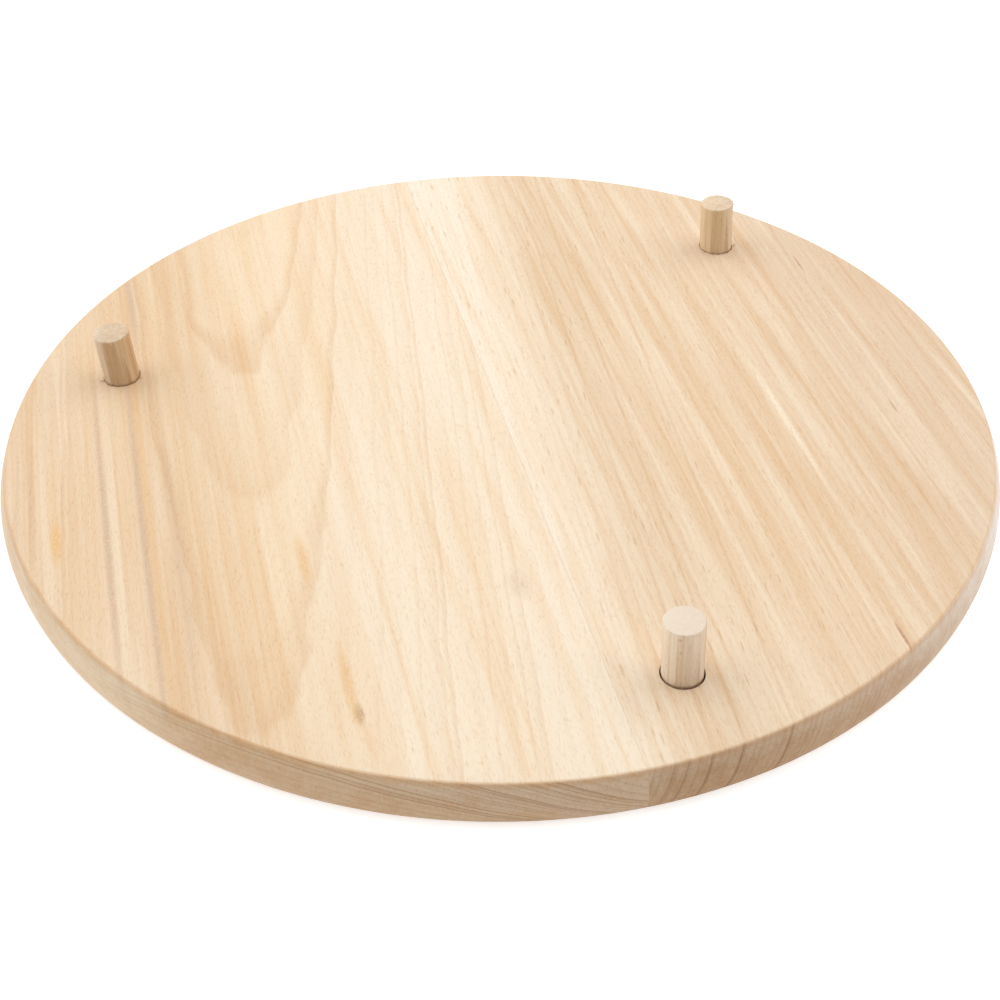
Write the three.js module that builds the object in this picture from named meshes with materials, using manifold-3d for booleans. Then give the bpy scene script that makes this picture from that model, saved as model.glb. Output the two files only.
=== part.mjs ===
// A round peg board: two edge-glued beech boards turned to a disc whose wall swells out below
// the top face, with three dowel pegs glued into blind holes near the rim. Millimetres, +Z
// up, origin at the centre of the underside. The grain and the glue joint run along Y.
import * as THREE from "three";
import { mergeVertices } from "three/addons/utils/BufferGeometryUtils.js";
import Module from "manifold-3d";

const wasm = await Module();
wasm.setup();

// Driving dimensions, in millimetres and degrees.
const TOP_DIAMETER = 320;
const BELLY_DIAMETER = 325.4; // of the wall at half the disc's thickness
const BOTTOM_DIAMETER = 323.6;
const DISC_THICKNESS = 13.5;
const ARRIS = 0.5; // small break on the disc's top and bottom edges
const GLUE_GAP = 0.2; // left between the two boards at the glued joint
const DOWEL_DIAMETER = 12;
const DOWEL_LENGTH = 28;
const DOWEL_CHAMFER = 0.4;
const HOLE_CLEARANCE = 0.3; // radial, and under the dowel's foot
const HOLE_OVERRUN = 1; // how far a hole's cutter stands proud of the top face
const DISC_SEGMENTS = 144;
const WALL_STEPS = 8;
const DOWEL_SEGMENTS = 40;

// Each peg's azimuth, its distance from the disc's centre (the holes are drilled by hand, so
// the three differ a little), and how far it stands out of the top face.
const PEGS = [
  { name: "front_peg", azimuth: -81.3, fromCentre: 131, standout: 20 },
  { name: "back_peg", azimuth: 37.9, fromCentre: 132.5, standout: 19 },
  { name: "left_peg", azimuth: 157.4, fromCentre: 130.5, standout: 18.5 },
];

const TOP_RADIUS = TOP_DIAMETER / 2;
const BOTTOM_RADIUS = BOTTOM_DIAMETER / 2;
const DOWEL_RADIUS = DOWEL_DIAMETER / 2;
const HOLE_RADIUS = DOWEL_RADIUS + HOLE_CLEARANCE;

// Which side of the glue joint a board lies on, as a sign of x.
const LEFT = -1;
const RIGHT = 1;

const beech = (color) =>
  new THREE.MeshStandardMaterial({ color, roughness: 0.62, metalness: 0 });
const PALE_BEECH = beech(0xf0d9b8);
const STRAIGHT_BEECH = beech(0xe8cba6);
const DOWEL_BEECH = beech(0xd8b88e);

// A solid of revolution about +Z, from its radius and height pairs.
function turned(profile, segments) {
  const points = profile.map(([radius, height]) => new THREE.Vector2(radius, height));
  return new THREE.LatheGeometry(points, segments).rotateX(Math.PI / 2);
}

// The disc's wall: a shallow curve from the bottom edge, through the belly, to the top edge.
function wallPoints() {
  const middle = DISC_THICKNESS / 2;
  const pull = BELLY_DIAMETER - (BOTTOM_RADIUS + TOP_RADIUS) / 2;
  const wall = new THREE.QuadraticBezierCurve(
    new THREE.Vector2(BOTTOM_RADIUS, 0),
    new THREE.Vector2(pull, middle),
    new THREE.Vector2(TOP_RADIUS, DISC_THICKNESS),
  );
  const arrisShare = ARRIS / DISC_THICKNESS;
  const points = [];
  for (let k = 0; k <= WALL_STEPS; k += 1) {
    const share = THREE.MathUtils.lerp(arrisShare, 1 - arrisShare, k / WALL_STEPS);
    points.push(wall.getPoint(share).toArray());
  }
  return points;
}

// The whole disc, with both its edges broken, standing on z = 0.
function discSolid() {
  const profile = [
    [0, 0],
    [BOTTOM_RADIUS - ARRIS, 0],
    ...wallPoints(),
    [TOP_RADIUS - ARRIS, DISC_THICKNESS],
    [0, DISC_THICKNESS],
  ];
  return solidOf(turned(profile, DISC_SEGMENTS));
}

function solidOf(geometry) {
  const bare = geometry.clone();
  bare.deleteAttribute("normal");
  bare.deleteAttribute("uv");
  const merged = mergeVertices(bare, 1e-4);
  return new wasm.Manifold(
    new wasm.Mesh({
      numProp: 3,
      vertProperties: merged.attributes.position.array,
      triVerts: new Uint32Array(merged.index.array),
    }),
  );
}

function geometryOf(solid) {
  const mesh = solid.getMesh();
  return new THREE.BufferGeometry()
    .setAttribute("position", new THREE.BufferAttribute(mesh.vertProperties, 3))
    .setIndex(new THREE.BufferAttribute(mesh.triVerts, 1));
}

// The x and y of a peg's axis.
function pegCentre(peg) {
  const angle = THREE.MathUtils.degToRad(peg.azimuth);
  return [peg.fromCentre * Math.cos(angle), peg.fromCentre * Math.sin(angle)];
}

// The height of a peg's foot above the underside.
const footHeight = (peg) => DISC_THICKNESS + peg.standout - DOWEL_LENGTH;

// The blind hole that a peg is glued into, open at the top face.
function pegHole(peg) {
  const floor = footHeight(peg) - HOLE_CLEARANCE;
  const mouth = DISC_THICKNESS + HOLE_OVERRUN;
  const profile = [
    [0, floor],
    [HOLE_RADIUS, floor],
    [HOLE_RADIUS, mouth],
    [0, mouth],
  ];
  const [x, y] = pegCentre(peg);
  return solidOf(turned(profile, DOWEL_SEGMENTS).translate(x, y, 0));
}

// A block that covers everything on one side of the glue joint.
function sideOfJoint(side) {
  const reach = 2 * BELLY_DIAMETER;
  const offset = side * (reach + GLUE_GAP) / 2;
  return solidOf(new THREE.BoxGeometry(reach, reach, reach).translate(offset, 0, 0));
}

// The disc with its three holes, before the glue joint parts it.
const disc = PEGS.reduce((solid, peg) => solid.subtract(pegHole(peg)), discSolid());

function boardMesh(name, side, material) {
  const mesh = new THREE.Mesh(geometryOf(disc.intersect(sideOfJoint(side))), material);
  mesh.name = name;
  return mesh;
}

// A dowel with both its ends chamfered, its foot on the floor of its hole.
function pegMesh(peg) {
  const profile = [
    [0, 0],
    [DOWEL_RADIUS - DOWEL_CHAMFER, 0],
    [DOWEL_RADIUS, DOWEL_CHAMFER],
    [DOWEL_RADIUS, DOWEL_LENGTH - DOWEL_CHAMFER],
    [DOWEL_RADIUS - DOWEL_CHAMFER, DOWEL_LENGTH],
    [0, DOWEL_LENGTH],
  ];
  const mesh = new THREE.Mesh(turned(profile, DOWEL_SEGMENTS), DOWEL_BEECH);
  mesh.position.set(...pegCentre(peg), footHeight(peg));
  mesh.name = peg.name;
  return mesh;
}

const pegBoard = new THREE.Group();
pegBoard.add(boardMesh("left_board", LEFT, PALE_BEECH));
pegBoard.add(boardMesh("right_board", RIGHT, STRAIGHT_BEECH));
PEGS.forEach((peg) => pegBoard.add(pegMesh(peg)));

export default pegBoard;
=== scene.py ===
"""Looks of a round beech peg board: two glued boards and three dowel pegs, bare sanded wood.

Row frame: metres, origin at the centre of the underside, +Z up, the grain along Y. The mesh
and texture numbers below are in millimetres and are scaled once, by MM.
"""
import math
import random
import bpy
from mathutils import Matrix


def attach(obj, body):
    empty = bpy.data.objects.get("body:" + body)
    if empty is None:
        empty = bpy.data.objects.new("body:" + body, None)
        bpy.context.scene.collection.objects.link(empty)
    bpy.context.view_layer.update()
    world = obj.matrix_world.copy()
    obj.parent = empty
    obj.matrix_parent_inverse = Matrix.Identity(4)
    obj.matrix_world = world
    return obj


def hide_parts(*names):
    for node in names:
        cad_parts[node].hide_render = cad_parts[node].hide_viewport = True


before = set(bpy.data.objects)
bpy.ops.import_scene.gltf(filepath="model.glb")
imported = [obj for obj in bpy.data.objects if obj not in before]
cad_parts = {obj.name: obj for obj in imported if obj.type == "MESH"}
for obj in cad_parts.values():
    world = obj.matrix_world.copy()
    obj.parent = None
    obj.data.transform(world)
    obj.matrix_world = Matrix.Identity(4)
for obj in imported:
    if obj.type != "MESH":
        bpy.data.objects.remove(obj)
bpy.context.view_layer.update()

from types import SimpleNamespace

import bmesh
import bpy
from mathutils import Matrix, Vector, geometry, noise

MM = 0.001

# ---------------------------------------------------------------- dimensions, millimetres
TOP_RADIUS = 160.0
BELLY_RADIUS = 162.7  # of the wall at half the thickness
BOTTOM_RADIUS = 161.8
THICKNESS = 13.5
ARRIS = 0.55  # radius of the broken top and bottom edges
JOINT_GAP = 0.03
RIM_SANDING = 0.02  # taken off the whole rim
SANDING_WAVE = 0.05  # the depth of the long waves that hand sanding leaves in the rim
SANDING_RIPPLE = 0.02  # and of the short ones
TOP_DISH = 0.03  # how far the top face may dip between its edges

DOWEL_RADIUS = 6.0
DOWEL_LENGTH = 28.0
DOWEL_SANDING = 0.05  # taken off the whole shaft
OUT_OF_ROUND = 0.03
RIB_DEPTH = 0.035
END_ZONE = 0.5  # the stretch below the sawn end that its saw marks reach
END_CORE = 0.5  # the radius of the end's middle, which has no ribs
SHAFT_STARTS = 0.8  # the plain shaft's start above the foot
SHAFT_STOPS = 0.35  # and its stop below the sawn end
FOOT_ROUNDING = ((0.6, 0.0), (0.25, 0.12), (0.05, 0.45))  # inset, height above the foot
END_ROUNDING = ((0.08, 0.16), (0.26, 0.0))  # inset, depth below the sawn end
LEAN_SINK = 0.3  # a leaning peg is driven this much deeper, so that its high edge is no higher

HOLE_CLEARANCE = 0.3  # under an upright dowel's foot
DRILL_POINT = 0.9  # the height of the cone that the drill leaves under the hole
MOUTH_WEAR = 0.12  # how much wider the mouth is than the hole
MOUTH_SETTLING = ((0.22, 0.7), (0.6, 1.0), (3.0, 1.0))  # depth, how nearly round the wall is
FIBRES_PER_RAGGED = 40
FIBRE_ROOTING = 0.04  # how deep the fibres round a mouth are rooted
SPLINTER_ROOTING = 0.05

# ---------------------------------------------------------------- mesh fineness
RIM_POINTS = 361
ARRIS_STEPS = 5
WALL_ROWS = 9
MOUTH_POINTS = 72
LATTICE_PITCH = 8.0  # millimetres between the points inside a board's face
LATTICE_ROWS = 0.87  # their rows' distance, as a share of the pitch
LATTICE_MARGIN = 3.0  # millimetres from them to the joint and to a hole
LATTICE_RIM_MARGIN = 4.0  # and to the rim
DOWEL_SEGMENTS = 112
SHAFT_ROWS = 22
END_RINGS = 9

# Each peg: its board (side, the sign of x), azimuth in degrees, distance from the centre and
# stand-out, its hole's radius, the way it sits off centre in the hole (nudge), its lean (sideways
# travel per unit of height), its share of LEAN_SINK (slant), how ragged the hole's mouth is, how
# uneven its sawn end is (end_wave), the azimuths of the torn fibres on its end, the azimuth and
# length of each long splinter at the mouth, and the seed of its chance details.
PEGS = {
    "front_peg": dict(
        side=1,
        azimuth=-81.3,
        from_centre=131.0,
        standout=20.0,
        hole=6.3,
        nudge=(0.06, 0.24),
        lean=(-0.034, 0.008),
        slant=0.7,
        ragged=0.10,
        end_wave=0.10,
        fibres=(),
        splinters=(),
        seed=3,
    ),
    "back_peg": dict(
        side=1,
        azimuth=37.9,
        from_centre=132.5,
        standout=19.0,
        hole=6.05,
        nudge=(0.0, 0.0),
        lean=(-0.050, 0.012),
        slant=1.0,
        ragged=0.45,
        end_wave=0.12,
        fibres=(-66, -52, -44, -38, -33, -28, -24, -19, -14, -9, -3),
        splinters=((-8, 2.6), (-16, 1.8), (-150, 1.4)),
        seed=8,
    ),
    "left_peg": dict(
        side=-1,
        azimuth=157.4,
        from_centre=130.5,
        standout=18.5,
        hole=6.06,
        nudge=(0.0, 0.0),
        lean=(-0.060, 0.014),
        slant=1.0,
        ragged=0.30,
        end_wave=0.30,
        fibres=(-120, -96),
        splinters=((-170, 2.4), (-162, 1.6), (-24, 1.6)),
        seed=12,
    ),
}

# ---------------------------------------------------------------- colours, linear
FLOOR_COLOUR = (0.78, 0.78, 0.78, 1)
RING_TINT = (0.82, 0.66, 0.50, 1)
FLECK_TINT = (0.70, 0.54, 0.40, 1)
PORE_TINT = (0.86, 0.76, 0.66, 1)
# partly painted shade: the end grain's darker tone, deepened to darken the board's rim where it runs
# across the grain
END_GRAIN_AND_SHADE_TINT = (0.57, 0.475, 0.39, 1)
END_RING_TINT = (0.72, 0.61, 0.51, 1)
# painted light: the paler colour laid on the boards' flanks
FLANK_LIGHT_COLOUR = (0.70, 0.62, 0.54, 1)
# painted light: the paler colour laid on the dowels' sawn ends
SAWN_END_LIGHT_COLOUR = (0.74, 0.63, 0.51, 1)
ARRIS_TINT = (0.90, 0.66, 0.42, 1)
# painted shade along the boards' bottom edge, where they meet the floor
BOTTOM_EDGE_SHADE_TINT = (0.42, 0.28, 0.17, 1)
# painted shade in the gap where a dowel leaves its hole
MOUTH_SHADE_TINT = (0.64, 0.48, 0.36, 1)
KNOT_COLOUR = (0.38, 0.20, 0.08, 1)
TAN_STREAK = (0.72, 0.45, 0.20, 1)
RED_STREAK = (0.42, 0.19, 0.10, 1)
GREY_STREAK = (0.58, 0.41, 0.28, 1)
PALE_STREAK = (0.86, 0.74, 0.58, 1)
GLUE_COLOUR = (0.60, 0.45, 0.28, 1)

# ---------------------------------------------------------------- shared by every wood
PORE_SCALE = (2.5, 0.45, 2.5)
DUST_SCALE = (2.2, 1.1, 2.2)
PORE_AMOUNT = 0.55
ARRIS_AMOUNT = 0.45
# strength of the painted shade along the bottom edge
BOTTOM_EDGE_SHADE_AMOUNT = 0.8
GLUE_AMOUNT = 0.2
# strength of the painted shade at the dowels' mouths
MOUTH_SHADE_AMOUNT = 0.85
LEAST_ROUGHNESS = 0.46
FINE_ROUGHNESS = 0.14  # added by the fine grain
END_ROUGHNESS = 0.16  # added on end grain
SPECULAR = 0.38
RELIEF_STRENGTH = 0.35
RELIEF_DEPTH = 0.00012  # metres


def polar(radius, angle, height=0.0):
    """A point, or with radius 1 a direction, at an angle round the z axis."""
    return Vector((radius * math.cos(angle), radius * math.sin(angle), height))


def peg_centre(peg):
    """The peg's hole centre in the row frame."""
    return polar(1, math.radians(peg["azimuth"])) * peg["from_centre"]


def foot_height(peg):
    """The height of an upright peg's foot above the underside."""
    return THICKNESS + peg["standout"] - DOWEL_LENGTH


def smooth_noise(x, y=0.0, z=0.0):
    """Gradient noise from about -1 to 1."""
    return noise.noise(Vector((x, y, z)))


def round_noise(angle, reach, level):
    """Noise that closes on itself round a circle; a longer reach gives shorter waves."""
    return smooth_noise(reach * math.cos(angle), reach * math.sin(angle), level)


def add_skin(bm, rings):
    """Four-sided faces between one closed ring of vertices and the next."""
    for ring, following in zip(rings, rings[1:]):
        for k in range(len(ring)):
            after = (k + 1) % len(ring)
            bm.faces.new((ring[k], ring[after], following[after], following[k]))


def add_fan(bm, ring, tip):
    """Triangles from a closed ring of vertices to one tip."""
    for k in range(len(ring)):
        bm.faces.new((ring[k], ring[(k + 1) % len(ring)], tip))


# ---------------------------------------------------------------- board meshes
def wall_radius(height):
    """The disc's radius at a height: a shallow curve that is widest at the belly."""
    share = height / THICKNESS
    bottom = BOTTOM_RADIUS * (1 - share) * (1 - 2 * share)
    belly = BELLY_RADIUS * 4 * share * (1 - share)
    top = TOP_RADIUS * share * (2 * share - 1)
    return bottom + belly + top


def rim_profile():
    """Inset and height pairs up the rim: bottom rounding, side, top rounding."""
    rows = []
    for k in range(ARRIS_STEPS + 1):
        angle = math.pi / 2 * k / ARRIS_STEPS
        rows.append((ARRIS * (1 - math.sin(angle)), ARRIS * (1 - math.cos(angle))))
    span = THICKNESS - 2 * ARRIS
    for k in range(1, WALL_ROWS):
        rows.append((0.0, ARRIS + span * k / WALL_ROWS))
    for inset, height in reversed(rows[: ARRIS_STEPS + 1]):
        rows.append((inset, THICKNESS - height))
    return rows


def hand_sanded(angle, height):
    """How far the rim falls inside its true circle, from sanding by hand."""
    wave = round_noise(angle, 6, height / 9)
    ripple = round_noise(angle, 60, height / 3)
    return SANDING_WAVE * (1 + wave) / 2 + SANDING_RIPPLE * (1 + ripple) / 2


def arc_row(side, inset, height):
    """Points along the rim from the front end of the joint round to its back end."""
    row = []
    nominal = wall_radius(height) - inset - RIM_SANDING
    end = math.acos(JOINT_GAP / 2 / nominal)
    for k in range(RIM_POINTS):
        turn = -end + 2 * end * k / (RIM_POINTS - 1)
        angle = turn if side > 0 else math.pi - turn
        point = polar(nominal - hand_sanded(angle, height), angle, height)
        if k in (0, RIM_POINTS - 1):
            point.x = side * JOINT_GAP / 2
        row.append(point)
    return row


def mouth_outline(peg):
    """The hole's edge in the top face, a little torn along the grain."""
    centre = peg_centre(peg)
    points = []
    for k in range(MOUTH_POINTS):
        angle = math.tau * k / MOUTH_POINTS
        tear = max(0.0, round_noise(angle, 3.1, peg["seed"]))
        nick = max(0.0, round_noise(angle, 11, peg["seed"]))
        along = abs(math.sin(angle))
        radius = peg["hole"] + MOUTH_WEAR + peg["ragged"] * (tear + nick) * (0.4 + 0.6 * along)
        points.append(centre + polar(radius, angle))
    return points


def point_in_loop(point, loop):
    """Even-odd test in the plane."""
    inside = False
    previous = loop[-1]
    for corner in loop:
        if (corner.y > point.y) != (previous.y > point.y):
            share = (point.y - corner.y) / (previous.y - corner.y)
            if point.x < corner.x + share * (previous.x - corner.x):
                inside = not inside
        previous = corner
    return inside


def near_hole(x, y, pegs):
    """Whether a place in the face is in a hole, or within the lattice's margin of one."""
    place = Vector((x, y, 0))
    return any((place - peg_centre(p)).length < p["hole"] + LATTICE_MARGIN for p in pegs)


def face_lattice(side, pegs):
    """Evenly spread points in one board's face, clear of its edges and of its holes."""
    points = []
    reach = int(TOP_RADIUS / LATTICE_PITCH) + 1
    for i in range(-reach, reach + 1):
        for j in range(-reach, reach + 1):
            x = (i + 0.5 * (j % 2)) * LATTICE_PITCH
            y = j * LATTICE_PITCH * LATTICE_ROWS
            clear_of_rim = math.hypot(x, y) < TOP_RADIUS - LATTICE_RIM_MARGIN
            clear_of_joint = side * x > LATTICE_MARGIN
            if clear_of_rim and clear_of_joint and not near_hole(x, y, pegs):
                points.append(Vector((x, y)))
    return points


def add_cap(bm, outer, holes, lattice, height, dish):
    """The face inside outer less the holes; between its edges it dips by up to dish."""
    points = []
    edges = []
    for loop in [outer, *holes]:
        start = len(points)
        points += [Vector((p.x, p.y)) for p in loop]
        edges += [(start + k, start + (k + 1) % len(loop)) for k in range(len(loop))]
    outline_count = len(points)
    points += lattice
    flat, _, faces, _, _, _ = geometry.delaunay_2d_cdt(points, edges, [], 0, 1e-5)
    verts = []
    for k, v in enumerate(flat):
        drop = 0.0
        if k >= outline_count:
            drop = dish * (1 + smooth_noise(v.x / 45, v.y / 70, height)) / 2
        verts.append(bm.verts.new((v.x, v.y, height - drop)))
    for face in faces:
        middle = sum((flat[k] for k in face), Vector((0, 0))) / len(face)
        in_hole = any(point_in_loop(middle, hole) for hole in holes)
        if point_in_loop(middle, outer) and not in_hole:
            bm.faces.new([verts[k] for k in face])


def add_hole(bm, peg, mouth):
    """The drilled wall below the mouth, and the shallow cone of the drill's point."""
    centre = peg_centre(peg)
    slope = Vector((*peg["lean"], 0))
    floor = foot_height(peg) - HOLE_CLEARANCE
    rings = [[bm.verts.new(p + Vector((0, 0, THICKNESS))) for p in mouth]]
    for depth, settle in (*MOUTH_SETTLING, (THICKNESS - floor, 1.0)):
        ring = []
        for point in mouth:
            arm = point - centre
            true_arm = arm.normalized() * peg["hole"]
            place = centre + arm.lerp(true_arm, settle) - slope * depth
            ring.append(bm.verts.new(Vector((place.x, place.y, THICKNESS - depth))))
        rings.append(ring)
    bottom = centre - slope * (THICKNESS - floor)
    tip = bm.verts.new(Vector((bottom.x, bottom.y, floor - DRILL_POINT)))
    add_skin(bm, rings)
    add_fan(bm, rings[-1], tip)


def fibre(bm, root, heading, length, width, curl, rng):
    """One torn wood fibre: a thin four-sided splinter that tapers and curls up."""
    sections = 5
    heading = heading.normalized()
    across = heading.cross(Vector((0, 0, 1))).normalized()
    rings = []
    for k in range(sections):
        share = k / (sections - 1)
        bend = curl * length * share * share
        wobble = across * (0.12 * length * math.sin(3 * share + rng.random()))
        centre = root + heading * (length * share) + Vector((0, 0, bend)) + wobble * share
        half = width * (1 - 0.85 * share) / 2
        up = Vector((0, 0, half * 0.6))
        side = across * half
        corners = (centre + side, centre + up, centre - side, centre - up)
        rings.append([bm.verts.new(c) for c in corners])
    add_skin(bm, rings)
    bm.faces.new(rings[0][::-1])
    bm.faces.new(rings[-1])


def add_mouth_fibres(bm, peg):
    """Short raised fibres and a few long splinters round a hole that tore when drilled."""
    rng = random.Random(peg["seed"])
    centre = peg_centre(peg)
    for _ in range(int(peg["ragged"] * FIBRES_PER_RAGGED)):
        arm = polar(1, rng.uniform(-2.6, 0.3))
        root = centre + arm * (peg["hole"] + rng.uniform(0.5, 0.8))
        root.z = THICKNESS - FIBRE_ROOTING
        inward = (-arm) @ Matrix.Rotation(rng.uniform(-0.9, 0.9), 3, "Z")
        heading = inward + Vector((0, 0, 0.35))
        fibre(bm, root, heading, rng.uniform(0.5, 1.0), width=0.2, curl=0.5, rng=rng)
    for degrees, length in peg["splinters"]:
        arm = polar(1, math.radians(degrees))
        root = centre + arm * (peg["hole"] + 0.1)
        root.z = THICKNESS - SPLINTER_ROOTING
        fibre(bm, root, arm + Vector((0, 0, 0.15)), length, width=0.45, curl=0.35, rng=rng)


def finish_mesh(name, bm, sharp_angle=35):
    """A shaded object from a bmesh in millimetres."""
    bmesh.ops.remove_doubles(bm, verts=bm.verts, dist=1e-4)
    bmesh.ops.recalc_face_normals(bm, faces=bm.faces)
    bmesh.ops.scale(bm, vec=(MM, MM, MM), verts=bm.verts)
    mesh = bpy.data.meshes.new(name)
    bm.to_mesh(mesh)
    bm.free()
    mesh.shade_smooth()
    mesh.set_sharp_from_angle(angle=math.radians(sharp_angle))
    piece = bpy.data.objects.new(name, mesh)
    bpy.context.scene.collection.objects.link(piece)
    return piece


def board(name, side):
    """Half of the disc, with its holes, its broken edges and its straight glued face."""
    pegs = [p for p in PEGS.values() if p["side"] == side]
    bm = bmesh.new()
    rows = []
    for inset, height in rim_profile():
        rows.append([bm.verts.new(p) for p in arc_row(side, inset, height)])
    for lower, upper in zip(rows, rows[1:]):
        for k in range(len(lower) - 1):
            bm.faces.new((lower[k], lower[k + 1], upper[k + 1], upper[k]))
    joint_face = [row[0] for row in rows] + [row[-1] for row in reversed(rows)]
    bm.faces.new(joint_face)

    mouths = [mouth_outline(p) for p in pegs]
    lattice = face_lattice(side, pegs)
    top_edge = [v.co.copy() for v in rows[-1]]
    add_cap(bm, top_edge, mouths, lattice, THICKNESS, TOP_DISH)
    bottom_edge = [v.co.copy() for v in rows[0]]
    add_cap(bm, bottom_edge, [], lattice, 0.0, 0.0)
    for peg, mouth in zip(pegs, mouths):
        add_hole(bm, peg, mouth)
        add_mouth_fibres(bm, peg)
    return finish_mesh(name, bm)


# ---------------------------------------------------------------- dowel meshes
def dowel_profile():
    """Inset and height pairs from the broken foot, up the shaft, to the sawn end's edge."""
    rows = list(FOOT_ROUNDING)
    top = DOWEL_LENGTH - SHAFT_STOPS
    for k in range(SHAFT_ROWS + 1):
        rows.append((0.0, SHAFT_STARTS + (top - SHAFT_STARTS) * k / SHAFT_ROWS))
    for inset, below_end in END_ROUNDING:
        rows.append((inset, DOWEL_LENGTH - below_end))
    rim = END_ROUNDING[-1][0]
    for ring in range(1, END_RINGS):
        share = 1 - ring / END_RINGS
        rows.append((DOWEL_RADIUS - (DOWEL_RADIUS - rim) * share, DOWEL_LENGTH))
    return rows


def dowel_point(peg, angle, inset, height):
    """A point of the dowel, with its out-of-round, its ribs and its saw marks."""
    out_of_round = OUT_OF_ROUND * round_noise(angle, 1.5, peg["seed"] + height / 40)
    rib = RIB_DEPTH * round_noise(angle, 16, peg["seed"] + height / 14)
    radius = max(0.0, DOWEL_RADIUS - inset - DOWEL_SANDING + out_of_round + rib)
    if inset > DOWEL_RADIUS - END_CORE:
        radius = max(0.0, DOWEL_RADIUS - inset)
    drop = 0.0
    if height > DOWEL_LENGTH - END_ZONE:
        x = math.cos(angle)
        y = math.sin(angle)
        swell = smooth_noise(radius * x / 4, radius * y / 4, peg["seed"])
        saw = smooth_noise(radius * (x + y) * 1.1, radius * (x - y) / 6, peg["seed"] + 4)
        drop = peg["end_wave"] * (1.2 + swell + 0.35 * saw)
    return polar(radius, angle, height - drop)


def add_end_fibre(bm, degrees, rng):
    """A splinter torn from the edge of the sawn end, bent outwards and down."""
    arm = polar(1, math.radians(degrees))
    root = arm * (DOWEL_RADIUS - 0.18)
    root.z = DOWEL_LENGTH - rng.uniform(0.35, 0.75)
    sideways = arm.cross(Vector((0, 0, 1))) * rng.uniform(-0.9, 0.9)
    heading = arm + sideways + Vector((0, 0, rng.uniform(-0.6, 0.25)))
    length = rng.uniform(0.8, 2.2)
    width = rng.uniform(0.3, 0.5)
    curl = rng.uniform(-0.5, 0.3)
    fibre(bm, root, heading, length, width, curl, rng)


def dowel(name):
    """A dowel with a broken foot, a faintly ribbed shaft and a sawn, slightly uneven end."""
    peg = PEGS[name]
    rng = random.Random(peg["seed"])
    bm = bmesh.new()
    rows = []
    for inset, height in dowel_profile():
        row = []
        for k in range(DOWEL_SEGMENTS):
            angle = math.tau * k / DOWEL_SEGMENTS
            row.append(bm.verts.new(dowel_point(peg, angle, inset, height)))
        rows.append(row)
    middle = bm.verts.new(dowel_point(peg, 0.0, DOWEL_RADIUS, DOWEL_LENGTH))
    foot = bm.verts.new(Vector((0, 0, 0)))
    add_skin(bm, rows)
    add_fan(bm, rows[-1], middle)
    add_fan(bm, rows[0][::-1], foot)
    for degrees in peg["fibres"]:
        add_end_fibre(bm, degrees, rng)
    piece = finish_mesh(name, bm, 40)
    stand_in_hole(piece, peg)
    return piece


def stand_in_hole(piece, peg):
    """Leans the dowel about the middle of its hole's mouth and sinks it to its depth."""
    upright = Vector((*peg["lean"], 1))
    turn = Vector((0, 0, 1)).rotation_difference(upright).to_matrix().to_4x4()
    mouth = peg_centre(peg) + Vector((*peg["nudge"], THICKNESS))
    depth = THICKNESS - foot_height(peg) + LEAN_SINK * peg["slant"]
    sunk = Matrix.Translation((0, 0, -depth * MM))
    piece.matrix_world = Matrix.Translation(mouth * MM) @ turn @ sunk


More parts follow.
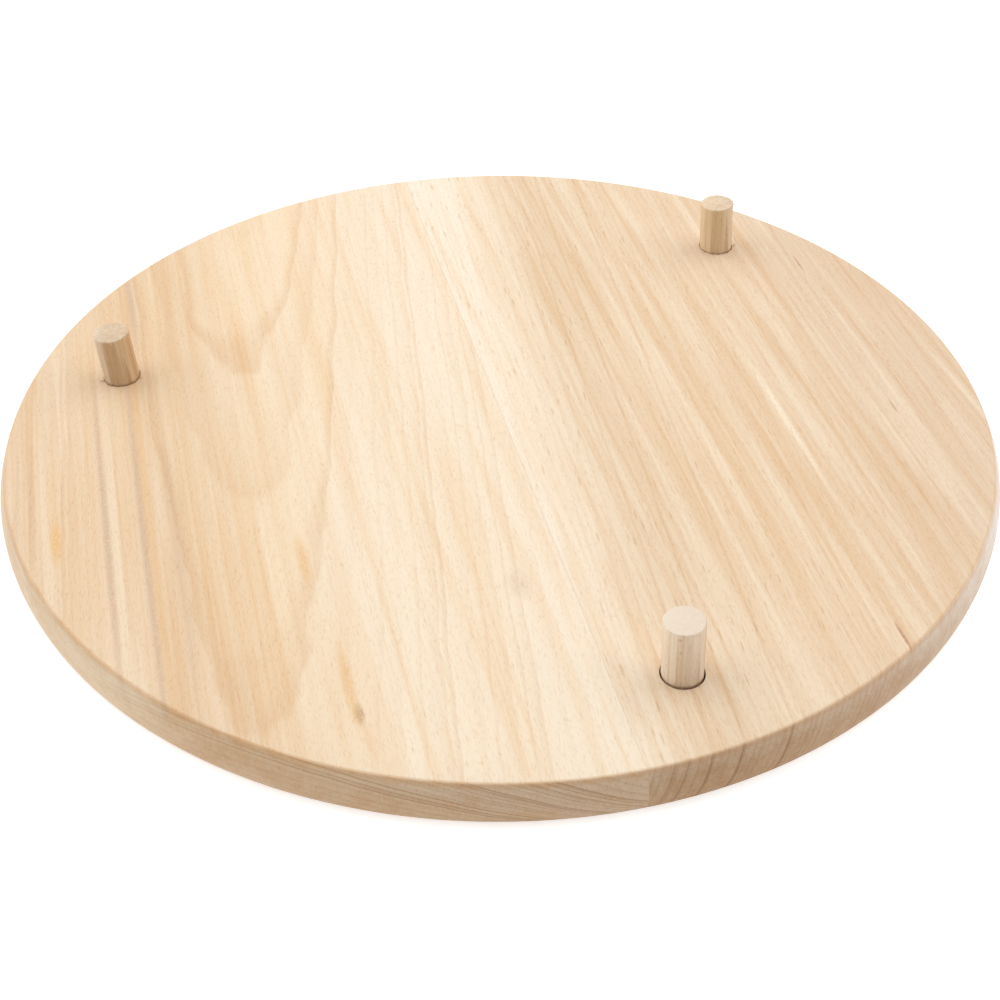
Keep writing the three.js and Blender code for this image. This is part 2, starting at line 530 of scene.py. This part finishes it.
# ---------------------------------------------------------------- shader building blocks
class Graph:
    """Thin helpers over one material's node tree."""

    def __init__(self, name):
        self.material = bpy.data.materials.new(name)
        self.material.use_nodes = True
        self.tree = self.material.node_tree
        self.tree.nodes.clear()

    def finish(self, shader):
        """Gives the material its surface."""
        self.node("ShaderNodeOutputMaterial", {"Surface": shader.outputs[0]})

    def node(self, kind, inputs=None, **settings):
        made = self.tree.nodes.new(kind)
        for key, value in settings.items():
            setattr(made, key, value)
        for key, value in (inputs or {}).items():
            self.feed(made.inputs[key], value)
        return made

    def feed(self, socket, value):
        if isinstance(value, bpy.types.NodeSocket):
            self.tree.links.new(value, socket)
        else:
            socket.default_value = value

    def math(self, operation, a, b=0.0, c=0.0, clamp=False):
        made = self.node("ShaderNodeMath", operation=operation, use_clamp=clamp)
        self.feed(made.inputs[0], a)
        self.feed(made.inputs[1], b)
        self.feed(made.inputs[2], c)
        return made.outputs[0]

    def vector(self, operation, a, b=(0, 0, 0)):
        made = self.node("ShaderNodeVectorMath", operation=operation)
        self.feed(made.inputs[0], a)
        self.feed(made.inputs[1], b)
        return made.outputs[1 if operation == "LENGTH" else 0]

    def parts(self, vector):
        """The vector's x, y and z."""
        return self.node("ShaderNodeSeparateXYZ", {0: vector}).outputs[:3]

    def remap(self, value, low, high, to_low=0.0, to_high=1.0):
        """A clamped smooth step from low to high."""
        made = self.node("ShaderNodeMapRange", interpolation_type="SMOOTHSTEP")
        for key, number in enumerate((value, low, high, to_low, to_high)):
            self.feed(made.inputs[key], number)
        return made.outputs[0]

    def tint(self, base, colour, amount):
        """Multiplies base by colour, by amount."""
        made = self.node("ShaderNodeMix", data_type="RGBA", blend_type="MULTIPLY")
        self.feed(made.inputs[0], amount)
        self.feed(made.inputs[6], base)
        self.feed(made.inputs[7], colour)
        return made.outputs[2]

    def blend(self, base, colour, amount):
        """Goes from base towards colour, by amount."""
        made = self.node("ShaderNodeMix", data_type="RGBA")
        self.feed(made.inputs[0], amount)
        self.feed(made.inputs[6], base)
        self.feed(made.inputs[7], colour)
        return made.outputs[2]

    def noise(self, place, scale, detail, roughness):
        """Noise that is stretched by its own scale across, along and up the grain."""
        made = self.node("ShaderNodeTexNoise", noise_dimensions="3D")
        self.feed(made.inputs["Vector"], self.vector("MULTIPLY", place, scale))
        self.feed(made.inputs["Scale"], 1.0)
        self.feed(made.inputs["Detail"], detail)
        self.feed(made.inputs["Roughness"], roughness)
        return made.outputs[0]

    def ramp(self, value, stops):
        """A colour ramp from (position, colour) pairs."""
        made = self.node("ShaderNodeValToRGB")
        made.color_ramp.interpolation = "B_SPLINE"
        elements = made.color_ramp.elements
        elements[0].position = stops[0][0]
        elements[0].color = (*stops[0][1], 1)
        elements[1].position = stops[-1][0]
        elements[1].color = (*stops[-1][1], 1)
        for position, colour in stops[1:-1]:
            element = elements.new(position)
            element.color = (*colour, 1)
        self.feed(made.inputs[0], value)
        return made.outputs[0]


def grain_place(g, along):
    """Object coordinates in millimetres, and the normal, as across, along and height to the grain."""
    coords = g.node("ShaderNodeTexCoord")
    place = g.vector("MULTIPLY", coords.outputs["Object"], (1 / MM, 1 / MM, 1 / MM))
    facing = coords.outputs["Normal"]
    if along == "Y":
        return place, facing
    return swapped(g, place), swapped(g, facing)


def swapped(g, vector):
    """The vector with y and z changed over, for wood whose grain stands upright."""
    x, y, z = g.parts(vector)
    return g.node("ShaderNodeCombineXYZ", {0: x, 1: z, 2: y}).outputs[0]


def growth_rings(g, wood, place):
    """(radius, turn, dark): distance and angle from the pith, and latewood lines."""
    across, along, height = g.parts(place)
    pith_x, pith_z = wood["pith"]
    drift_x, drift_z = wood["pith_drift"]
    dx = g.math("SUBTRACT", across, g.math("MULTIPLY_ADD", along, drift_x, pith_x))
    dz = g.math("SUBTRACT", height, g.math("MULTIPLY_ADD", along, drift_z, pith_z))
    squares = g.math("ADD", g.math("MULTIPLY", dx, dx), g.math("MULTIPLY", dz, dz))
    turn = g.math("ARCTAN2", dx, dz)
    sway = g.math("SUBTRACT", g.noise(place, wood["sway_scale"], detail=2.0, roughness=0.45), 0.5)
    radius = g.math("MULTIPLY_ADD", sway, wood["sway"], g.math("SQRT", squares))

    # Every ring darkens slowly outwards and ends at once; how dark it gets is a matter of luck.
    count = g.math("MULTIPLY_ADD", radius, 1 / wood["ring_width"], wood["ring_phase"])
    share = g.math("FRACT", count)
    luck = g.node("ShaderNodeTexWhiteNoise", noise_dimensions="1D")
    g.feed(luck.inputs["W"], g.math("FLOOR", count))
    late = g.math("POWER", share, 3.5)
    fall = g.remap(share, 0.93, 1.0, 1.0, 0.0)
    strength = g.math("POWER", luck.outputs["Value"], 2.0)
    strength = g.math("MULTIPLY_ADD", strength, 0.75, 0.25)
    dark = g.math("MULTIPLY", g.math("MULTIPLY", late, fall), strength)
    for ring, width, weight in wood["marked_rings"]:
        inside = g.remap(radius, ring - width, ring)
        outside = g.remap(radius, ring, ring + 0.3 * width, 1.0, 0.0)
        dark = g.math("MULTIPLY_ADD", g.math("MULTIPLY", inside, outside), weight, dark)
    return radius, turn, dark


def ray_flecks(g, wood, place, radius, turn):
    """Beech rays: thin plates that stand along the grain and point at the pith."""
    along = g.parts(place)[1]
    arc = g.math("MULTIPLY", turn, wood["mean_radius"] / wood["ray_thickness"])
    tall = g.math("MULTIPLY", along, 1 / wood["ray_height"])
    deep = g.math("MULTIPLY", radius, 1 / wood["ray_depth"])
    joined = g.node("ShaderNodeCombineXYZ", {0: arc, 1: tall, 2: deep})
    cells = g.node("ShaderNodeTexVoronoi", feature="F1")
    g.feed(cells.inputs["Vector"], joined.outputs[0])
    g.feed(cells.inputs["Scale"], 1.0)
    core = g.remap(cells.outputs["Distance"], 0.10, 0.34, 1.0, 0.0)
    pick = g.node("ShaderNodeSeparateColor", {0: cells.outputs["Color"]})
    chosen = g.remap(pick.outputs[0], 1 - wood["ray_share"], 1.0)
    return g.math("MULTIPLY", core, chosen)


def wood_fields(g, wood, along):
    """The fields through which one wood's colours are laid, as named sockets."""
    place, facing = grain_place(g, along)
    across, length, height = g.parts(place)
    _, along_normal, up_normal = g.parts(facing)
    end = g.remap(g.math("ABSOLUTE", along_normal), 0.45, 1.0)
    side = g.math("SUBTRACT", 1.0, end)
    radius, turn, rings = growth_rings(g, wood, place)
    return SimpleNamespace(
        place=place,
        across=across,
        length=length,
        height=height,
        lift=g.math("ABSOLUTE", up_normal),
        end=end,
        side=side,
        radius=radius,
        rings=rings,
        flecks=g.math("MULTIPLY", ray_flecks(g, wood, place, radius, turn), side),
        lanes=g.noise(place, wood["lane_scale"], detail=1.0, roughness=0.6),
        fine=g.noise(place, wood["streak_scale"], detail=2.0, roughness=0.6),
        broad=g.noise(place, wood["band_scale"], detail=2.0, roughness=0.5),
        pores=g.noise(place, PORE_SCALE, detail=2.0, roughness=0.6),
        dust=g.noise(place, DUST_SCALE, detail=1.0, roughness=0.6),
    )


def banded_colour(g, wood, f):
    """The wood's colour from one edge of the piece to the other, swaying with the broad bands."""
    low, high = wood["band_span"]
    cross = g.math("MULTIPLY_ADD", f.length, -wood["grain_slope"], f.across)
    cross = g.math("MULTIPLY_ADD", g.math("SUBTRACT", f.broad, 0.5), wood["band_sway"], cross)
    share = g.math("MULTIPLY_ADD", cross, 1 / (high - low), -low / (high - low))
    return g.ramp(share, wood["bands"])


def streaked(g, wood, f, colour):
    """Broad tints, fine stripes, lanes and ring zones along the grain."""
    broad = g.remap(f.broad, 0.35, 0.65)
    colour = g.tint(colour, wood["broad_tint"], g.math("MULTIPLY", broad, wood["broad_amount"]))
    stripe = g.remap(f.fine, 0.50, 0.72)
    colour = g.tint(colour, wood["stripe_tint"], g.math("MULTIPLY", stripe, wood["stripe_amount"]))
    lane = g.remap(f.lanes, 0.50, 0.66)
    colour = g.tint(colour, wood["stripe_tint"], g.math("MULTIPLY", lane, wood["lane_amount"]))
    pale_lane = g.remap(f.lanes, 0.46, 0.34)
    colour = g.blend(colour, PALE_STREAK, g.math("MULTIPLY", pale_lane, wood["pale_amount"]))
    for zone_ring, zone_tint in wood["zones"]:
        zone = g.remap(f.radius, zone_ring - 0.25, zone_ring + 0.05, 1.0, 0.0)
        colour = g.tint(colour, zone_tint, zone)
    glow = g.remap(f.fine, 0.48, 0.30)
    return g.blend(colour, PALE_STREAK, g.math("MULTIPLY", glow, wood["glow_amount"]))


def featured(g, wood, f, colour):
    """Knots, resin streaks and dark lines: soft ellipsoids, broken up by dust."""
    for label, centre, radii, hue, amount in wood["features"]:
        arm = g.vector("SUBTRACT", f.place, centre)
        arm = g.vector("MULTIPLY", arm, [1 / r for r in radii])
        mask = g.remap(g.vector("LENGTH", arm), 0.15, 1.0, 1.0, 0.0)
        mask.node.label = label
        mask = g.math("MULTIPLY", mask, g.remap(f.dust, 0.25, 0.55, 0.45, 1.0))
        colour = g.blend(colour, hue, g.math("MULTIPLY", mask, amount))
    return colour


def ringed(g, wood, f, colour):
    """Latewood lines on the face and on the end grain, ray flecks and pores; the end grain is then
    darkened, partly to its own deeper tone and partly as painted shade on the board's rim.
    """
    face_rings = g.math("MULTIPLY", f.rings, wood["ring_face"])
    colour = g.tint(colour, RING_TINT, g.math("MULTIPLY", face_rings, f.side, clamp=True))
    end_rings = g.math("MULTIPLY", f.rings, wood["ring_end"])
    colour = g.tint(colour, END_RING_TINT, g.math("MULTIPLY", end_rings, f.end, clamp=True))
    colour = g.tint(colour, FLECK_TINT, g.math("MULTIPLY", f.flecks, wood["fleck_amount"]))
    specks = g.remap(f.pores, 0.52, 0.70)
    colour = g.tint(colour, PORE_TINT, g.math("MULTIPLY", specks, PORE_AMOUNT))
    end_specks = g.math("MULTIPLY", g.remap(f.dust, 0.45, 0.75), f.end)
    colour = g.tint(colour, RING_TINT, g.math("MULTIPLY", end_specks, wood["end_speck"]))
    # end grain darkened: partly its own deeper tone, partly painted shade on the board's rim
    return g.tint(colour, END_GRAIN_AND_SHADE_TINT, g.math("MULTIPLY", f.end, wood["end_grain_and_shade_amount"]))


def painted_flank_light(g, wood, f, colour):
    """The rim where it runs along the grain: painted light makes the right board's flanks paler and
    cooler, and painted shade makes the left board's darker.
    """
    flank = g.math("MULTIPLY", g.remap(f.lift, 0.8, 0.6), f.side)
    colour = g.blend(colour, FLANK_LIGHT_COLOUR, g.math("MULTIPLY", flank, wood["flank_light_amount"]))
    return g.tint(colour, wood["flank_light_tint"], flank)


def board_edges(g, f, colour):
    """The sanded arrises: orange tan along the top edge; along the bottom edge, painted shade where
    the board meets the floor.
    """
    rounded = g.math("MULTIPLY", g.remap(f.lift, 0.06, 0.35), g.remap(f.lift, 0.86, 0.99, 1.0, 0.0))
    upper = g.math("MULTIPLY", rounded, g.remap(f.height, THICKNESS - 2, THICKNESS - 1))
    colour = g.tint(colour, ARRIS_TINT, g.math("MULTIPLY", upper, ARRIS_AMOUNT))
    # painted shade: the bottom edge darkened where the board meets the floor
    lower = g.remap(f.height, 0.1, 0.9, 1.0, 0.0)
    lower = g.math("MULTIPLY", lower, g.remap(f.lift, 0.9, 0.99, 1.0, 0.0))
    return g.tint(colour, BOTTOM_EDGE_SHADE_TINT, g.math("MULTIPLY", lower, BOTTOM_EDGE_SHADE_AMOUNT))


def joint_line(g, f, colour):
    """The hairline of glue where the two boards meet."""
    near = g.remap(g.math("ABSOLUTE", f.across), 0.02, 0.22, 1.0, 0.0)
    return g.blend(colour, GLUE_COLOUR, g.math("MULTIPLY", near, GLUE_AMOUNT))


def painted_end_light(g, wood, f, colour):
    """The sawn end, made paler with painted light, most of all on the front peg."""
    return g.blend(colour, SAWN_END_LIGHT_COLOUR, g.math("MULTIPLY", f.end, wood["end_pale"]))


def painted_mouth_shade(g, f, colour, buried):
    """Where a dowel leaves its hole: a soft, uneven band of painted shade that browns the gap round
    the dowel.
    """
    edge = g.math("MULTIPLY_ADD", f.dust, 1.6, buried - 0.55)
    # painted shade: a ragged band round the dowel at the mouth of its hole
    shaded_band = g.remap(g.math("SUBTRACT", f.length, edge), -0.3, 0.8, 1.0, 0.0)
    return g.tint(colour, MOUTH_SHADE_TINT, g.math("MULTIPLY", shaded_band, MOUTH_SHADE_AMOUNT))


def bare_surface(g, f, colour):
    """A dull sanded skin, rougher on end grain, with a little relief from pores and grain."""
    rough = g.math("MULTIPLY_ADD", f.fine, FINE_ROUGHNESS, LEAST_ROUGHNESS)
    rough = g.math("MULTIPLY_ADD", f.end, END_ROUGHNESS, rough)
    relief = g.math("MULTIPLY_ADD", f.pores, 0.5, g.math("MULTIPLY", f.fine, 0.6))
    bump = g.node("ShaderNodeBump")
    g.feed(bump.inputs["Strength"], RELIEF_STRENGTH)
    g.feed(bump.inputs["Distance"], RELIEF_DEPTH)
    g.feed(bump.inputs["Height"], relief)
    shader = g.node("ShaderNodeBsdfPrincipled")
    g.feed(shader.inputs["Base Color"], colour)
    g.feed(shader.inputs["Roughness"], rough)
    g.feed(shader.inputs["Normal"], bump.outputs[0])
    shader.inputs["Specular IOR Level"].default_value = SPECULAR
    g.finish(shader)


def solid_wood(g, wood, f):
    """One solid field of bands, streaks, features, rings, rays and pores."""
    colour = banded_colour(g, wood, f)
    colour = streaked(g, wood, f, colour)
    colour = featured(g, wood, f, colour)
    return ringed(g, wood, f, colour)


def board_beech(name, wood):
    """Bare sanded beech whose grain lies along Y."""
    g = Graph(name)
    f = wood_fields(g, wood, "Y")
    colour = solid_wood(g, wood, f)
    colour = painted_flank_light(g, wood, f, colour)
    colour = board_edges(g, f, colour)
    colour = joint_line(g, f, colour)
    bare_surface(g, f, colour)
    return g.material


def dowel_beech(name, wood, buried):
    """Bare beech whose grain stands along Z, buried to a depth in its hole."""
    g = Graph(name)
    f = wood_fields(g, wood, "Z")
    colour = solid_wood(g, wood, f)
    colour = painted_end_light(g, wood, f, colour)
    colour = painted_mouth_shade(g, f, colour, buried)
    bare_surface(g, f, colour)
    return g.material


# ---------------------------------------------------------------- the woods
# Lengths are in millimetres. pith is where the tree's centre line (x, z) crosses y = 0, and
# pith_drift is how far it moves per millimetre of y. A scale is in waves per millimetre across,
# along and up. The lists hold:
#   marked_rings: radius, width and strength of a growth ring
#   zones: the radius of a ring, and a tint for the wood inside it
#   bands: the share of band_span across the grain, and the colour there
#   features: label, centre, radii, colour and strength of a soft ellipsoid
PALE = (0.80, 0.665, 0.50)
CREAM = (0.82, 0.70, 0.55)
TAN = (0.70, 0.52, 0.345)
WARM = (0.74, 0.575, 0.40)

LEFT_WOOD = dict(
    pith=(-84.0, -212.0),
    pith_drift=(0.085, 0.014),
    mean_radius=228.0,
    ring_width=2.2,
    ring_phase=0.26,
    marked_rings=[
        (224.9, 0.35, 0.9),
        (227.1, 0.40, 0.85),
        (229.4, 0.30, 0.35),
        (231.3, 0.30, 0.45),
        (233.0, 0.40, 0.8),
        (235.6, 0.30, 0.5),
        (238.0, 0.35, 0.6),
    ],
    zones=[
        (227.1, (0.995, 0.98, 0.95, 1)),
        (224.9, (1.0, 0.985, 0.965, 1)),
        (233.0, (0.995, 0.985, 0.97, 1)),
    ],
    sway=0.9,
    sway_scale=(0.055, 0.030, 0.055),
    ray_thickness=0.50,
    ray_height=7.0,
    ray_depth=14.0,
    ray_share=0.5,
    fleck_amount=0.35,
    streak_scale=(0.85, 0.011, 0.85),
    lane_scale=(0.16, 0.006, 0.16),
    lane_amount=0.45,
    pale_amount=0.25,
    band_scale=(0.07, 0.005, 0.07),
    band_sway=8.0,
    band_span=(-160.0, 0.0),
    bands=[
        (0.00, TAN),
        (0.10, WARM),
        (0.22, WARM),
        (0.30, TAN),
        (0.40, WARM),
        (0.52, PALE),
        (0.66, CREAM),
        (1.00, CREAM),
    ],
    grain_slope=0.0,
    broad_tint=(0.98, 0.94, 0.87, 1),
    broad_amount=0.6,
    stripe_tint=(0.96, 0.86, 0.74, 1),
    stripe_amount=0.45,
    glow_amount=0.15,
    ring_face=0.42,
    ring_end=1.7,
    # the end grain's darkening, partly painted shade on the rim
    end_grain_and_shade_amount=0.85,
    end_speck=0.5,
    # painted shade: the left board's flanks are darkened
    flank_light_amount=0.05,
    flank_light_tint=(0.87, 0.88, 0.88, 1),
    features=[
        ("knot", (-69.0, -123.0, THICKNESS), (2.1, 6.0, 6.0), KNOT_COLOUR, 0.70),
        ("knot's tail", (-70.0, -112.0, THICKNESS), (2.4, 24.0, 6.0), TAN_STREAK, 0.75),
        ("knot's foot", (-68.0, -133.0, THICKNESS), (1.8, 10.0, 6.0), TAN_STREAK, 0.45),
        ("smudge", (-14.7, -84.0, THICKNESS), (5.0, 9.0, 3.0), GREY_STREAK, 0.30),
        ("resin streak", (-145.4, -32.0, THICKNESS), (2.6, 16.0, 6.0), TAN_STREAK, 1.0),
        ("resin tail", (-146.2, -10.0, THICKNESS), (1.8, 26.0, 5.0), TAN_STREAK, 0.30),
        ("short streak", (-74.4, -58.0, THICKNESS), (2.6, 16.0, 5.0), TAN_STREAK, 0.70),
        ("dark line", (-119.3, -35.0, THICKNESS), (2.1, 135.0, 8.0), GREY_STREAK, 0.95),
        ("dark line's edge", (-117.6, -20.0, THICKNESS), (2.6, 130.0, 8.0), TAN_STREAK, 0.40),
        ("outer dark line", (-130.3, -30.0, THICKNESS), (2.0, 110.0, 8.0), GREY_STREAK, 0.80),
        ("rim dark line", (-152.3, -10.0, THICKNESS), (1.7, 60.0, 8.0), GREY_STREAK, 0.40),
        ("inner dark line", (-110.0, -40.0, THICKNESS), (3.0, 110.0, 8.0), GREY_STREAK, 0.40),
        ("far dark line", (-114.5, 92.0, THICKNESS), (2.0, 40.0, 8.0), GREY_STREAK, 0.75),
    ],
)

RIGHT_WOOD = dict(
    pith=(208.0, -58.0),
    pith_drift=(0.078, 0.0),
    mean_radius=150.0,
    ring_width=1.9,
    ring_phase=0.4,
    marked_rings=[
        (169.8, 1.3, 1.1),
        (183.0, 1.2, 1.1),
        (191.4, 1.2, 1.0),
        (197.7, 1.1, 0.9),
        (201.3, 1.1, 0.8),
    ],
    zones=[],
    sway=2.4,
    sway_scale=(0.03, 0.008, 0.03),
    ray_thickness=0.42,
    ray_height=10.0,
    ray_depth=9.0,
    ray_share=0.7,
    fleck_amount=0.45,
    streak_scale=(0.75, 0.012, 0.75),
    lane_scale=(0.24, 0.010, 0.24),
    lane_amount=0.45,
    pale_amount=0.22,
    band_scale=(0.10, 0.004, 0.10),
    band_sway=6.0,
    band_span=(0.0, 160.0),
    bands=[
        (0.00, (0.84, 0.735, 0.60)),
        (0.05, (0.83, 0.71, 0.56)),
        (0.13, (0.765, 0.62, 0.455)),
        (0.21, (0.71, 0.555, 0.39)),
        (0.32, (0.745, 0.59, 0.42)),
        (0.45, (0.74, 0.58, 0.41)),
        (0.62, (0.72, 0.555, 0.385)),
        (0.82, (0.69, 0.535, 0.385)),
        (1.00, (0.68, 0.515, 0.36)),
    ],
    grain_slope=0.078,
    broad_tint=(0.96, 0.90, 0.82, 1),
    broad_amount=0.7,
    stripe_tint=(0.93, 0.83, 0.71, 1),
    stripe_amount=0.5,
    glow_amount=0.22,
    ring_face=0.30,
    ring_end=0.95,
    # the end grain's darkening, partly painted shade on the rim
    end_grain_and_shade_amount=1.0,
    end_speck=0.5,
    # painted light: the right board's flanks are made paler and cooler
    flank_light_amount=0.35,
    flank_light_tint=(0.95, 1.03, 1.17, 1),
    features=[
        ("pale streak", (90.0, -28.0, THICKNESS), (1.8, 60.0, 8.0), PALE_STREAK, 0.75),
        ("red line", (130.4, 62.0, THICKNESS), (0.7, 9.0, 5.0), RED_STREAK, 0.60),
        ("lower red line", (127.2, -30.0, THICKNESS), (0.7, 6.0, 5.0), RED_STREAK, 0.60),
        ("edge crack", (84.6, -131.0, THICKNESS), (0.8, 9.0, 5.0), RED_STREAK, 0.85),
    ],
)


def dowel_wood(pith, bands, **changes):
    """Straight-grained dowel stock; across and height lie in the dowel's round section."""
    wood = dict(
        pith=pith,
        pith_drift=(0.0, 0.0),
        mean_radius=40.0,
        ring_width=1.25,
        ring_phase=0.2,
        marked_rings=[],
        zones=[],
        sway=0.5,
        sway_scale=(0.15, 0.02, 0.15),
        ray_thickness=0.35,
        ray_height=2.6,
        ray_depth=3.0,
        ray_share=0.4,
        fleck_amount=0.5,
        streak_scale=(1.4, 0.03, 1.4),
        lane_scale=(0.6, 0.02, 0.6),
        lane_amount=0.5,
        pale_amount=0.2,
        band_scale=(0.25, 0.01, 0.25),
        band_sway=2.0,
        band_span=(-6.0, 6.0),
        bands=bands,
        grain_slope=0.0,
        broad_tint=(0.90, 0.86, 0.80, 1),
        broad_amount=0.6,
        stripe_tint=(0.84, 0.74, 0.62, 1),
        stripe_amount=0.8,
        glow_amount=0.2,
        ring_face=0.45,
        ring_end=0.35,
        end_grain_and_shade_amount=0.0,
        end_speck=0.25,
        # painted light on the sawn end
        end_pale=0.35,
        features=[],
    )
    wood.update(changes)
    return wood


# The bands run across each dowel from its left side to its right and are palest on the left: partly
# the stock's own tone, partly painted light on the side the light falls on.
DOWEL_WOODS = {
    "front_peg": dowel_wood(
        (30.0, -26.0),
        [(0.0, (0.87, 0.76, 0.62)), (0.45, (0.74, 0.59, 0.44)), (1.0, (0.66, 0.54, 0.42))],
        # painted light: the front peg's sawn end is made much paler
        end_pale=0.8,
    ),
    "back_peg": dowel_wood(
        (17.0, -30.0),
        [(0.0, (0.79, 0.62, 0.41)), (0.6, (0.68, 0.50, 0.31)), (1.0, (0.62, 0.48, 0.34))],
        features=[("red line", (2.0, 16.0, -5.4), (0.5, 16.0, 2.0), RED_STREAK, 0.5)],
        ring_end=2.2,
    ),
    "left_peg": dowel_wood(
        (-28.0, 30.0),
        [(0.0, (0.72, 0.61, 0.47)), (0.35, (0.55, 0.365, 0.20)), (1.0, (0.61, 0.42, 0.24))],
    ),
}


# ---------------------------------------------------------------- build
def place_piece(piece, node, material):
    """Puts a piece in the place of one CAD node."""
    piece.data.materials.append(material)
    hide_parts(node)
    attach(piece, "root")


pale_beech = board_beech("pale beech", LEFT_WOOD)
place_piece(board("left_board_wood", -1), "left_board", pale_beech)
straight_beech = board_beech("straight beech", RIGHT_WOOD)
place_piece(board("right_board_wood", 1), "right_board", straight_beech)
for peg_name, peg_wood in DOWEL_WOODS.items():
    peg_piece = dowel(peg_name)
    peg_piece.name = peg_name + "_wood"
    buried = THICKNESS - foot_height(PEGS[peg_name])
    peg_beech = dowel_beech(peg_name + " beech", peg_wood, buried)
    place_piece(peg_piece, peg_name, peg_beech)


# ---------------------------------------------------------------- floor, light and camera
# Metres, degrees and watts. The camera looks down on the board from its front.
VIEW_AZIMUTH = -13.6
VIEW_PITCH = 39.81
VIEW_ROLL = -0.31
CAMERA_PLACE = (-0.1019, -0.4208, 0.3354)
LENS = 58.46
FLOOR_REACH = 4.0
FLOOR_DROP = 0.0002  # keeps the floor just clear of the underside
FLOOR_GLOW = 0.5
BACKDROP_GLOW = 0.585
BOX_DISTANCE = 1.6
BOX_SIZE = 2.0


def floor():
    """A plain pale floor under the board."""
    mesh = bpy.data.meshes.new("floor")
    signs = ((-1, -1), (1, -1), (1, 1), (-1, 1))
    corners = [(x * FLOOR_REACH, y * FLOOR_REACH, 0) for x, y in signs]
    mesh.from_pydata(corners, [], [(0, 1, 2, 3)])
    plane = bpy.data.objects.new("floor", mesh)
    plane.location.z = -FLOOR_DROP
    bpy.context.scene.collection.objects.link(plane)
    g = Graph("floor white")
    shader = g.node("ShaderNodeBsdfPrincipled")
    shader.inputs["Base Color"].default_value = FLOOR_COLOUR
    shader.inputs["Roughness"].default_value = 0.9
    shader.inputs["Emission Color"].default_value = (1, 1, 1, 1)
    shader.inputs["Emission Strength"].default_value = FLOOR_GLOW
    g.finish(shader)
    plane.data.materials.append(g.material)


def soft_box(name, azimuth, elevation, power):
    """A square area light that looks at the board; azimuth 0 is towards +X."""
    light = bpy.data.lights.new(name, "AREA")
    light.energy = power
    light.size = BOX_SIZE
    lamp = bpy.data.objects.new(name, light)
    bpy.context.scene.collection.objects.link(lamp)
    rise = math.radians(elevation)
    arm = polar(math.cos(rise), math.radians(azimuth), math.sin(rise))
    lamp.location = arm * BOX_DISTANCE
    lamp.rotation_mode = "QUATERNION"
    lamp.rotation_quaternion = arm.to_track_quat("Z", "Y")


def studio():
    """Even white surroundings and three soft boxes."""
    world = bpy.data.worlds.new("studio")
    world.use_nodes = True
    backdrop = world.node_tree.nodes["Background"]
    backdrop.inputs["Color"].default_value = (1.0, 1.0, 1.0, 1)
    backdrop.inputs["Strength"].default_value = BACKDROP_GLOW
    bpy.context.scene.world = world
    soft_box("left side box", azimuth=152, elevation=33, power=15)
    soft_box("right side box", azimuth=2, elevation=31, power=15)
    soft_box("back top box", azimuth=76, elevation=62, power=9.5)
    bpy.context.scene.view_settings.view_transform = "Standard"


def camera():
    """The camera, in front of the board and above it."""
    lens = bpy.data.cameras.new("camera")
    lens.lens = LENS
    lens.sensor_width = 36
    lens.clip_start = 0.01
    eye = bpy.data.objects.new("camera", lens)
    bpy.context.scene.collection.objects.link(eye)
    aim = Matrix.Rotation(math.radians(VIEW_AZIMUTH), 4, "Z")
    aim = aim @ Matrix.Rotation(math.radians(90 - VIEW_PITCH), 4, "X")
    aim = aim @ Matrix.Rotation(math.radians(VIEW_ROLL), 4, "Z")
    eye.matrix_world = Matrix.Translation(CAMERA_PLACE) @ aim
    bpy.context.scene.camera = eye


floor()
studio()
camera()
